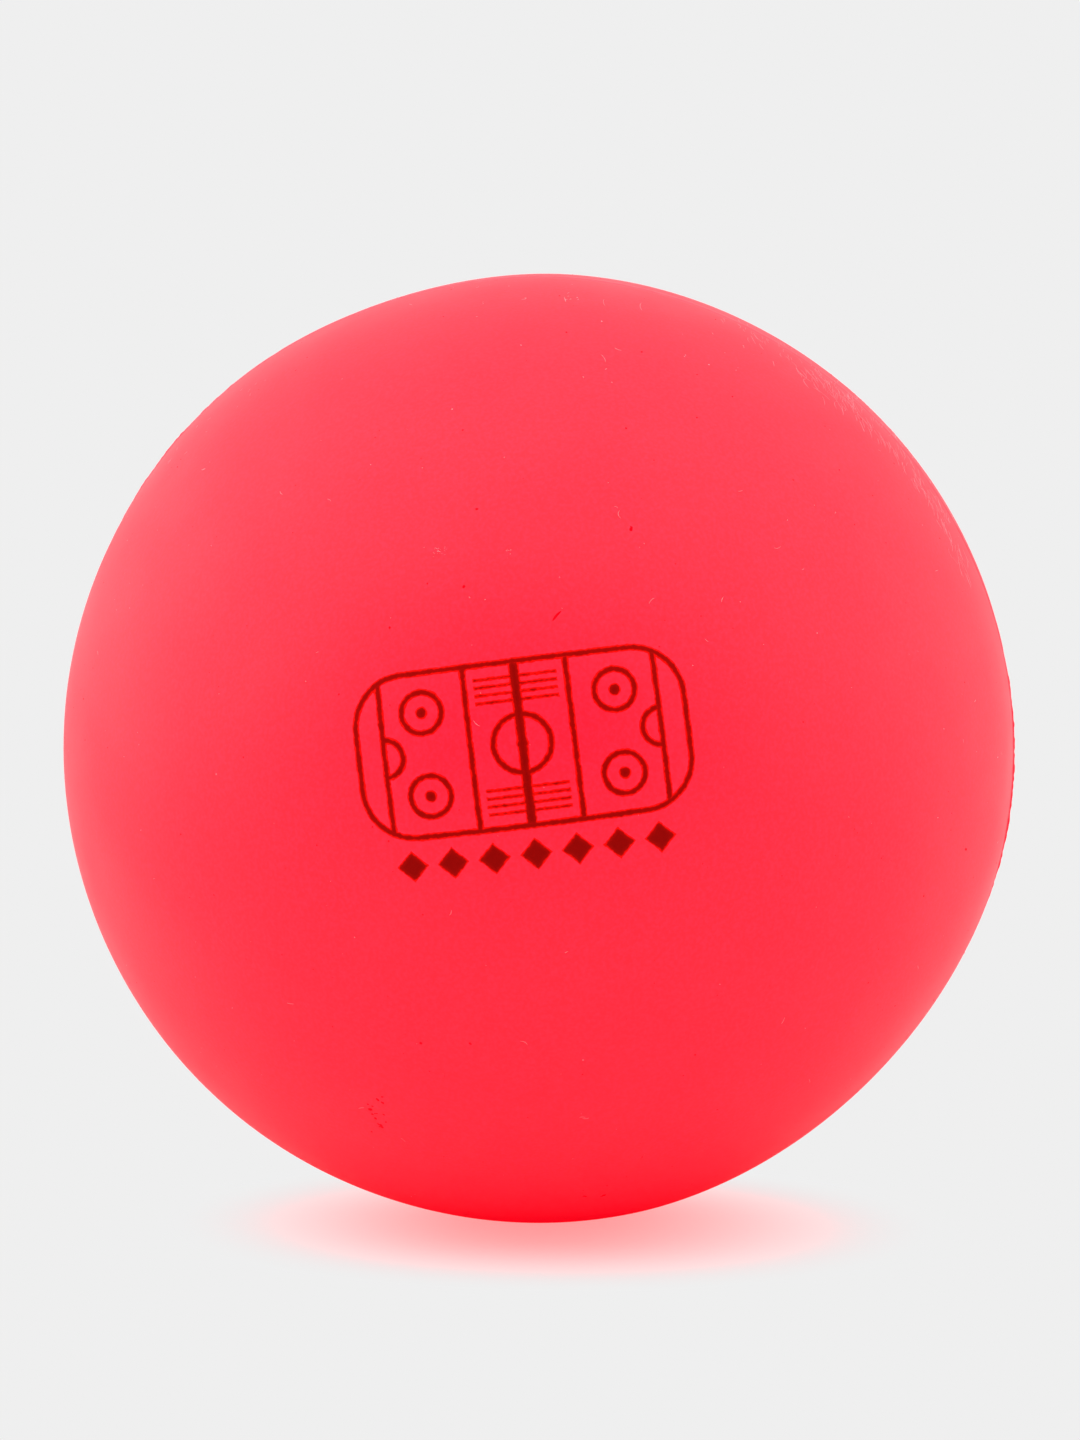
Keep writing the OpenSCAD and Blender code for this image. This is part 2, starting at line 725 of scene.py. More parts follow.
@dataclass(frozen=True)
class TraceFinish:
    """Grit, dust and scuffed vinyl: matt, and a little uneven in colour.

    All of it carries the vinyl's painted neon glow, a steady red emission.
    """

    trace: Trace
    roughness: float = 0.7
    uneven_mm: float = 0.8
    uneven_share: float = 0.4

    def material(self) -> bpy.types.Material:
        """Builds the material of one kind of trace.

        Returns:
            The material.
        """
        material = bpy.data.materials.new(f"{self.trace.name.lower()}_on_vinyl")
        tree = empty_tree(material)
        uneven = add_node(
            tree,
            "ShaderNodeTexNoise",
            inputs={"Vector": place_in_mm(tree), "Scale": 1 / self.uneven_mm, "Detail": 2.0},
        ).outputs["Fac"]
        share = add_node(
            tree,
            "ShaderNodeMapRange",
            inputs={
                "Value": uneven,
                "From Min": NOISE_LIMITS[0],
                "From Max": NOISE_LIMITS[1],
                "To Max": self.uneven_share,
            },
        ).outputs["Result"]
        colour = add_node(
            tree,
            "ShaderNodeMix",
            {"data_type": "RGBA"},
            {
                MIX_FACTOR: share,
                MIX_FIRST: linear(self.trace.colour),
                MIX_SECOND: linear(SoftVinylFinish.colour),
            },
        ).outputs[MIX_RESULT]
        shader = add_node(
            tree,
            "ShaderNodeBsdfPrincipled",
            inputs={
                "Base Color": colour,
                "Roughness": self.roughness,
                "IOR": self.trace.ior,
                # The vinyl's painted neon glow
                "Emission Color": linear(SoftVinylFinish.painted_neon_glow_colour),
                "Emission Strength": SoftVinylFinish.painted_neon_glow_strength,
            },
        ).outputs["BSDF"]
        add_node(tree, "ShaderNodeOutputMaterial", inputs={"Surface": shader})
        return material


@dataclass(frozen=True)
class VinylSkin:
    """The outer skin of the ball, meshed finely enough to carry the ragged ridge.

    Two caps of even cells cover the mould halves. Rows of cells run round the ball between them,
    and their number doubles twice on the way to the parting line.
    """

    form: BallForm
    finish: SoftVinylFinish = field(default_factory=SoftVinylFinish)
    cap_cells: int = 128
    cap_edge: float = 1.4
    fine_rows: tuple[float, ...] = (0.0, 0.07, 0.13, 0.16, 0.25, 0.36, 0.45, 0.55)
    middle_rows: tuple[float, ...] = (0.75, 1.0)

    def cap(self, side: int) -> np.ndarray:
        """Spreads even cells over one mould half.

        Args:
            side: -1 for the half towards -Y and 1 for the other.

        Returns:
            Unit directions in a square grid, with the cap's edge on the grid's edge.
        """
        steps = np.linspace(-1.0, 1.0, self.cap_cells + 1)
        across, along = np.meshgrid(steps, steps, indexing="ij")
        wide = np.abs(across) > np.abs(along)
        reach = np.where(wide, across, along)
        divisor = np.where(reach == 0, 1.0, reach)
        turn = np.where(
            wide,
            math.pi / 4 * along / divisor,
            math.pi / 2 - math.pi / 4 * across / divisor,
        )
        depth = 1.0 - self.cap_edge / self.form.radius
        height = 1.0 - reach**2 * depth
        spread = np.sign(reach) * np.sqrt(1.0 - height**2)
        return np.stack((spread * np.cos(turn), side * height, spread * np.sin(turn)), axis=-1)

    def ring(self, offset: float, segments: int) -> np.ndarray:
        """Gives unit directions all the way round the ball.

        Args:
            offset: how far they lie from the parting plane, in millimetres.
            segments: how many they are.

        Returns:
            One direction in each row.
        """
        turn = -math.pi / 4 + np.arange(segments) * math.tau / segments
        latitude = math.asin(offset / self.form.radius)
        level = math.cos(latitude)
        return np.stack(
            (level * np.cos(turn), np.full(segments, math.sin(latitude)), level * np.sin(turn)),
            axis=-1,
        )

    def strip(self, front: np.ndarray, back: np.ndarray) -> list:
        """Joins two rings of vertices, one of which may have twice as many as the other.

        Args:
            front: the vertex numbers of the ring towards -Y.
            back: those of the ring towards +Y.

        Returns:
            The faces between them.
        """
        next_front = np.roll(front, -1)
        next_back = np.roll(back, -1)
        if len(front) == len(back):
            return np.stack((front, back, next_back, next_front), axis=-1).tolist()
        if len(front) < len(back):
            fans = (
                (front, back[0::2], back[1::2]),
                (front, back[1::2], next_front),
                (next_front, back[1::2], next_back[1::2]),
            )
        else:
            fans = (
                (front[0::2], back, front[1::2]),
                (back, next_back, front[1::2]),
                (front[1::2], next_back, next_front[1::2]),
            )
        return [face for fan in fans for face in np.stack(fan, axis=-1).tolist()]

    def build(self) -> bpy.types.Object:
        """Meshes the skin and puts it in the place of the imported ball.

        Returns:
            The piece, which rides on the ball's body.
        """
        cells = self.cap_cells
        numbers = np.arange((cells + 1) ** 2).reshape(cells + 1, cells + 1)
        corners = (numbers[:-1, :-1], numbers[1:, :-1], numbers[1:, 1:], numbers[:-1, 1:])
        edge = np.concatenate(
            (numbers[-1, :-1], numbers[:0:-1, -1], numbers[0, :0:-1], numbers[:-1, 0])
        )
        quads = np.stack(corners, axis=-1).reshape(-1, 4)
        directions = [self.cap(-1).reshape(-1, 3), self.cap(1).reshape(-1, 3)]
        second = len(directions[0])
        faces = quads.tolist() + (quads[:, ::-1] + second).tolist()
        rows = [(row, 2 * len(edge)) for row in self.middle_rows]
        rows += [(row, 4 * len(edge)) for row in self.fine_rows]
        rows = sorted({(sign * row, count) for row, count in rows for sign in (-1, 1)})
        rings = [edge]
        made = 2 * second
        for offset, count in rows:
            directions.append(self.ring(offset, count))
            rings.append(np.arange(made, made + count))
            made += count
        rings.append(edge + second)
        for front, back in zip(rings, rings[1:]):
            faces += self.strip(front, back)
        skin = make_piece(
            "vinyl_skin", self.form.points(np.concatenate(directions)), faces, self.finish.material()
        )
        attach(skin, BODY)
        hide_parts(CAD_BALL)
        return skin


@dataclass(frozen=True)
class RinkPlan:
    """The printed motif: the plan of a rink with its middle hatched, over a row of diamonds.

    Every length is in millimetres, across or up from the middle of the print. A point's depth is
    how far it lies inside the ink, and is negative outside it.
    """

    half_length: float = 11.0
    half_width: float = 5.4
    corner: float = 3.4
    middle_height: float = 1.9
    line: float = 0.47
    bold_line: float = 0.72
    hatch_line: float = 0.25
    hatch_step: float = 0.52
    hatch_gap: float = 0.4
    centre_circle: float = 1.9
    cross_line_at: float = 3.4
    goal_line_at: float = 9.2
    crease: float = 1.25
    spot_circle: float = 1.35
    spot: float = 0.42
    spot_at: tuple[float, float] = (6.4, 2.75)
    diamond_height: float = -5.4
    diamond: float = 1.08
    diamond_step: float = 2.75
    diamonds: int = 7
    ragged: float = 0.022
    ragged_waves: int = 14
    ragged_turns: float = 9.0
    ragged_seed: int = 17

    def depth(self, across: np.ndarray, up: np.ndarray) -> np.ndarray:
        """Gives the depth in the ink of each point.

        Args:
            across: distances to the right of the print's middle.
            up: distances above it.

        Returns:
            Depths in millimetres, positive in the ink.
        """
        level = up - self.middle_height
        far_across = np.abs(across) - (self.half_length - self.corner)
        far_up = np.abs(level) - (self.half_width - self.corner)
        outside = np.hypot(np.maximum(far_across, 0.0), np.maximum(far_up, 0.0))
        border = outside + np.minimum(np.maximum(far_across, far_up), 0.0) - self.corner
        shapes = [self.line / 2 - np.abs(border)]
        upright_lines = (
            (0.0, self.bold_line),
            (self.cross_line_at, self.line),
            (self.goal_line_at, self.line),
        )
        for place, width in upright_lines:
            shapes.append(np.minimum(width / 2 - np.abs(np.abs(across) - place), -border))
        circle = np.hypot(across, level)
        shapes.append(self.line / 2 - np.abs(circle - self.centre_circle))
        shapes.append(self.spot - circle)
        goal = np.hypot(np.abs(across) - self.goal_line_at, level)
        shapes.append(
            np.minimum(self.line / 2 - np.abs(goal - self.crease), self.goal_line_at - np.abs(across))
        )
        spot = np.hypot(np.abs(across) - self.spot_at[0], np.abs(level) - self.spot_at[1])
        shapes.append(self.line / 2 - np.abs(spot - self.spot_circle))
        shapes.append(self.spot - spot)
        row = np.abs(level / self.hatch_step % 1.0 - 0.5) * self.hatch_step
        open_ice = np.minimum(self.cross_line_at - np.abs(across), np.abs(level) - self.centre_circle)
        open_ice = np.minimum(open_ice, -border) - self.line / 2 - self.hatch_gap
        shapes.append(np.minimum(self.hatch_line / 2 - row, open_ice))
        half_row = (self.diamonds - 1) / 2
        nearest = np.clip(np.round(across / self.diamond_step), -half_row, half_row) * self.diamond_step
        diamond = np.abs(across - nearest) + np.abs(up - self.diamond_height)
        shapes.append((self.diamond - diamond) * math.sqrt(0.5))
        return np.max(shapes, axis=0) + self.ragged * self.edge_noise(across, up)

    def edge_noise(self, across: np.ndarray, up: np.ndarray) -> np.ndarray:
        """Gives the unevenness of the pad's edges.

        Args:
            across: distances to the right of the print's middle.
            up: distances above it.

        Returns:
            A value for each point, nearly all of them from -1 to 1.
        """
        draw = np.random.default_rng(self.ragged_seed)
        total = np.zeros_like(across)
        for _ in range(self.ragged_waves):
            wave = draw.normal(size=2) * self.ragged_turns
            total += np.cos(across * wave[0] + up * wave[1] + draw.uniform(0.0, math.tau))
        return total / math.sqrt(self.ragged_waves)


@dataclass(frozen=True)
class InkFilm:
    """The film of ink that the pad left on the skin, in the outline of the rink plan."""

    form: BallForm
    camera: ProductCamera
    plan: RinkPlan = field(default_factory=RinkPlan)
    finish: PrintInkFinish = field(default_factory=PrintInkFinish)
    middle_px: tuple[float, float] = (526.0, 772.0)
    slant_deg: float = 7.0
    cell: float = 0.06
    half_width: float = 12.0
    half_height: float = 8.0
    thickness: float = 0.014
    sunk: float = 0.02
    soft_edge: float = 0.32
    edge_thickness: float = 0.4
    passes: int = 3
    least_growth: float = 0.5
    DEPTH_ATTRIBUTE = "ink_depth"

    def slope(self, flat: np.ndarray) -> tuple[np.ndarray, np.ndarray]:
        """Gives how deep in the ink each point lies, and which way the depth grows.

        Args:
            flat: points of the plan, in millimetres.

        Returns:
            Their depths, and the growth of these across and up.
        """
        step = self.cell / 10
        depth = self.plan.depth(flat[:, 0], flat[:, 1])
        right = self.plan.depth(flat[:, 0] + step, flat[:, 1]) - depth
        above = self.plan.depth(flat[:, 0], flat[:, 1] + step) - depth
        return depth, np.stack((right, above), axis=-1) / step

    def inked_cells(self, grid: np.ndarray) -> np.ndarray:
        """Marks the cells of the grid whose middle lies in the ink.

        Cells that would touch at one corner only get a neighbour, so the film stays closed.

        Args:
            grid: the corners of all cells, in millimetres.

        Returns:
            For each cell, whether it is inked.
        """
        middles = (grid[:-1, :-1] + grid[1:, 1:]) / 2
        inked = self.plan.depth(middles[..., 0], middles[..., 1]) > 0
        for _ in range(self.passes):
            corner = inked[:-1, :-1] & inked[1:, 1:] & ~inked[1:, :-1] & ~inked[:-1, 1:]
            inked[1:, :-1] |= corner
            corner = inked[1:, :-1] & inked[:-1, 1:] & ~inked[:-1, :-1] & ~inked[1:, 1:]
            inked[:-1, :-1] |= corner
        return inked

    def build(self) -> bpy.types.Object:
        """Meshes the film: a top, an underside just in the skin, and walls along its edges.

        Returns:
            The piece, which rides on the ball's body.
        """
        across = np.arange(-self.half_width, self.half_width, self.cell)
        up = np.arange(-self.half_height, self.half_height, self.cell)
        grid = np.stack(np.meshgrid(across, up, indexing="ij"), axis=-1)
        inked = self.inked_cells(grid)
        around = np.pad(inked, 1)
        touching = (
            around[:-1, :-1].astype(int) + around[1:, :-1] + around[:-1, 1:] + around[1:, 1:]
        )
        used = touching > 0
        edge = (used & (touching < 4))[used]
        flat = grid[used]
        for _ in range(self.passes):
            depth, growth = self.slope(flat[edge])
            steep = np.maximum((growth**2).sum(axis=1), self.least_growth**2)
            move = growth * (depth / steep)[:, None]
            reach = np.maximum(np.linalg.norm(move, axis=1)[:, None], TINY)
            flat[edge] -= move * np.minimum(1.0, self.cell / 2 / reach)
        depth = np.where(edge, 0.0, np.maximum(self.plan.depth(flat[:, 0], flat[:, 1]), 0.0))
        share = np.clip(depth / self.soft_edge, 0.0, 1.0)
        directions = self.wrap(flat)
        full = self.edge_thickness + (1.0 - self.edge_thickness) * share
        top = self.form.points(directions, self.thickness * full)
        under = self.form.points(directions, -self.sunk)
        count = len(flat)
        numbers = np.full(used.shape, -1)
        numbers[used] = np.arange(count)
        corners = (numbers[:-1, :-1], numbers[1:, :-1], numbers[1:, 1:], numbers[:-1, 1:])
        quads = np.stack([corner[inked] for corner in corners], axis=-1)
        faces = quads.tolist() + (quads[:, ::-1] + count).tolist()
        sides = ((0, -1, 0, 1), (1, 0, 1, 2), (0, 1, 2, 3), (-1, 0, 3, 0))
        for step_across, step_up, first, second in sides:
            beyond = np.roll(around, (-step_across, -step_up), axis=(0, 1))[1:-1, 1:-1]
            bare = inked & ~beyond
            start = corners[first][bare]
            end = corners[second][bare]
            faces += np.stack((start + count, end + count, end, start), axis=-1).tolist()
        film = make_piece("rink_print", np.concatenate((top, under)), faces, self.finish.material())
        layer = film.data.attributes.new(self.DEPTH_ATTRIBUTE, "FLOAT", "POINT")
        layer.data.foreach_set("value", np.tile(share, 2).astype(np.float32))
        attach(film, BODY)
        return film

    def wrap(self, flat: np.ndarray) -> np.ndarray:
        """Lays the flat plan on the ball, true to length from its middle outwards.

        Args:
            flat: points of the plan, in millimetres.

        Returns:
            Their unit directions on the ball.
        """
        middle = self.camera.direction_at(self.middle_px, self.form.radius)
        right = self.camera.heading_at(middle, self.form.radius, self.slant_deg)
        above = np.cross(middle, right)
        reach = np.linalg.norm(flat, axis=1)
        arc = reach / self.form.radius
        share = np.sin(arc) / np.maximum(reach, TINY)
        along = flat[:, :1] * right + flat[:, 1:] * above
        return middle * np.cos(arc)[:, None] + along * share[:, None]


@dataclass(frozen=True)
class Cluster:
    """A group of flecks round one pixel of the photograph, with their reach and radii."""

    middle_px: tuple[float, float]
    reach_px: tuple[float, float]
    count: int
    radii: tuple[float, float]


@dataclass(frozen=True)
class Flecks:
    """Grit or dust that sticks to the skin, as small flat grains with uneven edges.

    The uneven radii, the stretch to one side, the width of the shoulder and the steepness are
    shares of each fleck's radius.
    """

    name: str
    finish: TraceFinish
    form: BallForm
    camera: ProductCamera
    scattered: int
    radii: tuple[float, float]
    clusters: tuple[Cluster, ...]
    seed: int
    sides: int = 8
    height: float = 0.012
    sunk: float = 0.012
    uneven: tuple[float, float] = (0.65, 1.25)
    stretch: tuple[float, float] = (0.6, 1.0)
    shoulder: float = 0.7
    steepness: float = 0.4

    def middles(self, draw: np.random.Generator) -> tuple[np.ndarray, np.ndarray]:
        """Draws where the flecks lie, and how large they are.

        Args:
            draw: the source of random numbers.

        Returns:
            Their unit directions and their radii in millimetres.
        """
        directions = draw.normal(size=(self.scattered, 3))
        directions /= np.linalg.norm(directions, axis=1)[:, None]
        radii = [self.radii[0] + (self.radii[1] - self.radii[0]) * draw.random(self.scattered) ** 2]
        places = [directions]
        for cluster in self.clusters:
            for _ in range(cluster.count):
                shift = draw.normal(size=2) * cluster.reach_px
                pixel = (cluster.middle_px[0] + shift[0], cluster.middle_px[1] + shift[1])
                places.append(self.camera.direction_at(pixel, self.form.radius)[None])
            radii.append(draw.uniform(*cluster.radii, cluster.count))
        return np.concatenate(places), np.concatenate(radii)

    def build(self) -> bpy.types.Object:
        """Meshes every fleck as a closed dome with its foot just in the skin.

        Returns:
            The piece, which rides on the ball's body.
        """
        draw = np.random.default_rng(self.seed)
        middles, radii = self.middles(draw)
        count = len(middles)
        headings = np.cross(middles, draw.normal(size=(count, 3)))
        headings /= np.linalg.norm(headings, axis=1)[:, None]
        turns = np.arange(self.sides) * math.tau / self.sides
        uneven = draw.uniform(*self.uneven, size=(count, self.sides)) * radii[:, None]
        stretch = draw.uniform(*self.stretch, size=(count, 1))
        foot = np.stack((uneven * np.cos(turns), uneven * np.sin(turns) * stretch), axis=-1)
        centre = np.zeros((count, 2, 2))
        offsets = np.concatenate((foot, foot * self.shoulder, centre), axis=1)
        heights = np.minimum(self.height, radii * self.steepness)[:, None]
        lifts = np.concatenate(
            (
                np.full((count, self.sides), -self.sunk / 2),
                np.repeat(heights * self.shoulder, self.sides, axis=1),
                heights,
                np.full((count, 1), -self.sunk),
            ),
            axis=1,
        )
        points = self.form.beside(middles, headings, offsets, lifts)
        ring = np.arange(self.sides)
        following = np.roll(ring, -1)
        top = np.full(self.sides, 2 * self.sides)
        fans = (
            np.stack((ring + self.sides, following + self.sides, top), axis=-1),
            np.stack((following, ring, top + 1), axis=-1),
        )
        walls = np.stack((ring, following, following + self.sides, ring + self.sides), axis=-1)
        faces = repeat_faces((*fans, walls), count, offsets.shape[1])
        piece = make_piece(self.name, points, faces, self.finish.material())
        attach(piece, BODY)
        return piece


@dataclass(frozen=True)
class Stroke:
    """Scuffs between two pixels of the photograph, strewn about the line that joins them.

    A single scuff has a count of one and no reach.
    """

    start_px: tuple[float, float]
    end_px: tuple[float, float]
    count: int
    reach_px: float
    heading_deg: float
    lengths: tuple[float, float]
    width: float

    @classmethod
    def single(
        cls,
        place_px: tuple[float, float],
        heading_deg: float,
        length: float,
        width: float,
        play: float = 0.02,
    ) -> "Stroke":
        """Describes a single scuff.

        Args:
            place_px: the pixel that shows its middle.
            heading_deg: its turn in the picture, anticlockwise from the right.
            length: its least length, in millimetres.
            width: its width, in millimetres.
            play: how much longer it may be drawn.

        Returns:
            The stroke that holds this scuff alone.
        """
        return cls(place_px, place_px, 1, 0.0, heading_deg, (length, length + play), width)


@dataclass(frozen=True)
class Hairs:
    """Fine hairs of scuffed vinyl, and lint, that lie on the skin.

    Each is bent a little, by a share of its length.
    """

    name: str
    finish: TraceFinish
    form: BallForm
    camera: ProductCamera
    strokes: tuple[Stroke, ...]
    scattered: int
    seed: int
    stations: int = 7
    height: float = 0.018
    sunk: float = 0.012
    bend: float = 0.12
    heading_spread_deg: float = 14.0
    scattered_lengths: tuple[float, float] = (0.2, 0.7)
    scattered_width: float = 0.034

    def build(self) -> bpy.types.Object:
        """Meshes every hair as a closed, bent spindle with its underside just in the skin.

        Returns:
            The piece, which rides on the ball's body.
        """
        draw = np.random.default_rng(self.seed)
        middles = []
        headings = []
        sizes = []
        for stroke in self.strokes:
            for _ in range(stroke.count):
                share = draw.random() if stroke.count > 1 else 0.5
                shift = draw.normal(size=2) * stroke.reach_px
                pixel = tuple(
                    start + (end - start) * share + off
                    for start, end, off in zip(stroke.start_px, stroke.end_px, shift)
                )
                middle = self.camera.direction_at(pixel, self.form.radius)
                spread = self.heading_spread_deg if stroke.count > 1 else 0.0
                turn = stroke.heading_deg + draw.normal() * spread
                middles.append(middle)
                headings.append(self.camera.heading_at(middle, self.form.radius, turn))
                sizes.append((draw.uniform(*stroke.lengths), stroke.width))
        for _ in range(self.scattered):
            middle = draw.normal(size=3)
            middle /= np.linalg.norm(middle)
            heading = np.cross(middle, draw.normal(size=3))
            middles.append(middle)
            headings.append(heading / np.linalg.norm(heading))
            sizes.append((draw.uniform(*self.scattered_lengths), self.scattered_width))
        sizes = np.array(sizes)
        count = len(middles)
        along = np.linspace(-0.5, 0.5, self.stations)
        bend = draw.normal(size=(count, 1)) * self.bend
        # A shallow bow, which lies about its own mean
        bow = (along**2 - 0.08) * bend * 4
        path = np.stack((along * sizes[:, :1], bow * sizes[:, :1]), axis=-1)
        half = np.sqrt(1.0 - (along[1:-1] * 2) ** 2) * sizes[:, 1:] / 2
        body = path[:, 1:-1]
        sideways = np.stack((np.zeros_like(half), half), axis=-1)
        offsets = np.concatenate((body - sideways, body, body + sideways, body, path[:, [0, -1]]), axis=1)
        inner = self.stations - 2
        lifts = np.concatenate(
            (
                np.full((count, inner), -self.sunk / 2),
                np.full((count, inner), -self.sunk),
                np.full((count, inner), -self.sunk / 2),
                np.full((count, inner), self.height),
                np.full((count, 2), -self.sunk / 2),
            ),
            axis=1,
        )
        points = self.form.beside(np.array(middles), np.array(headings), offsets, lifts)
        lines = np.arange(4 * inner).reshape(4, inner)
        following = np.roll(lines, -1, axis=0)
        walls = np.stack(
            (lines[:, :-1], following[:, :-1], following[:, 1:], lines[:, 1:]), axis=-1
        ).reshape(-1, 4)
        first = np.stack((np.full(4, 4 * inner), following[:, 0], lines[:, 0]), axis=-1)
        last = np.stack((np.full(4, 4 * inner + 1), lines[:, -1], following[:, -1]), axis=-1)
        faces = repeat_faces((walls, first, last), count, offsets.shape[1])
        piece = make_piece(self.name, points, faces, self.finish.material())
        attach(piece, BODY)
        return piece


def plain_view(tree: bpy.types.NodeTree) -> bpy.types.NodeSocket:
    """Tells the rays that see the plain backdrop from those that light the ball.

    Args:
        tree: the node tree that asks.

    Returns:
        A socket that is 1 for what the camera sees, also through something clear, and else 0.
    """
    path = add_node(tree, "ShaderNodeLightPath").outputs
    return add_node(
        tree,
        "ShaderNodeMath",
        {"operation": "MAXIMUM"},
        {0: path["Is Camera Ray"], 1: path["Is Transmission Ray"]},
    ).outputs["Value"]


@dataclass(frozen=True)
class TentLight:
    """A white light tent, open on the camera's side.

    The opening, a little below the camera, leaves the middle of the ball deep in colour. The
    lit walls and roof round it turn the gloss pale towards the rim, and the wall at the back is
    half as bright. Angles are counted from the middle of the opening, and each pair of them is
    the start and the end of a soft ramp. The lean makes the tent brighter on one side.
    """

    backdrop: str = "#efefef"
    opening_level: float = 0.0
    lit_level: float = 2.05
    back_level: float = 1.1
    opening_azimuth_deg: float = 2.0
    opening_elevation_deg: float = -18.0
    lit_deg: tuple[float, float] = (46.0, 72.5)
    back_deg: tuple[float, float] = (120.0, 146.0)
    lean: tuple[float, float, float] = (-0.106, 0.0, -0.064)

    def build(self) -> None:
        """Makes the world and gives it to the scene."""
        world = bpy.data.worlds.new("light_tent")
        tree = empty_tree(world)
        place = add_node(tree, "ShaderNodeTexCoord").outputs["Generated"]
        opening = direction_of(self.opening_azimuth_deg, self.opening_elevation_deg)
        towards, leaning = (
            add_node(
                tree, "ShaderNodeVectorMath", {"operation": "DOT_PRODUCT"}, {0: place, 1: axis}
            ).outputs["Value"]
            for axis in (opening, self.lean)
        )
        away = add_node(tree, "ShaderNodeMath", {"operation": "ARCCOSINE"}, {0: towards}).outputs["Value"]
        ramps = (
            (self.lit_deg, self.opening_level, self.lit_level),
            (self.back_deg, 0.0, self.lit_level - self.back_level),
        )
        lit, less = (
            add_node(
                tree,
                "ShaderNodeMapRange",
                {"interpolation_type": "SMOOTHSTEP"},
                {
                    "Value": away,
                    "From Min": math.radians(limits_deg[0]),
                    "From Max": math.radians(limits_deg[1]),
                    "To Min": low,
                    "To Max": high,
                },
            ).outputs["Result"]
            for limits_deg, low, high in ramps
        )
        level, share = (
            add_node(
                tree, "ShaderNodeMath", {"operation": operation}, {0: first, 1: second}
            ).outputs["Value"]
            for operation, first, second in (("SUBTRACT", lit, less), ("ADD", leaning, 1.0))
        )
        bright = add_node(
            tree, "ShaderNodeMath", {"operation": "MULTIPLY"}, {0: level, 1: share}
        ).outputs["Value"]
        seen = add_node(
            tree,
            "ShaderNodeMix",
            {"data_type": "RGBA"},
            {MIX_FACTOR: plain_view(tree), MIX_FIRST: bright, MIX_SECOND: linear(self.backdrop)},
        ).outputs[MIX_RESULT]
        shader = add_node(tree, "ShaderNodeBackground", inputs={"Color": seen}).outputs["Background"]
        add_node(tree, "ShaderNodeOutputWorld", inputs={"Surface": shader})
        bpy.context.scene.world = world


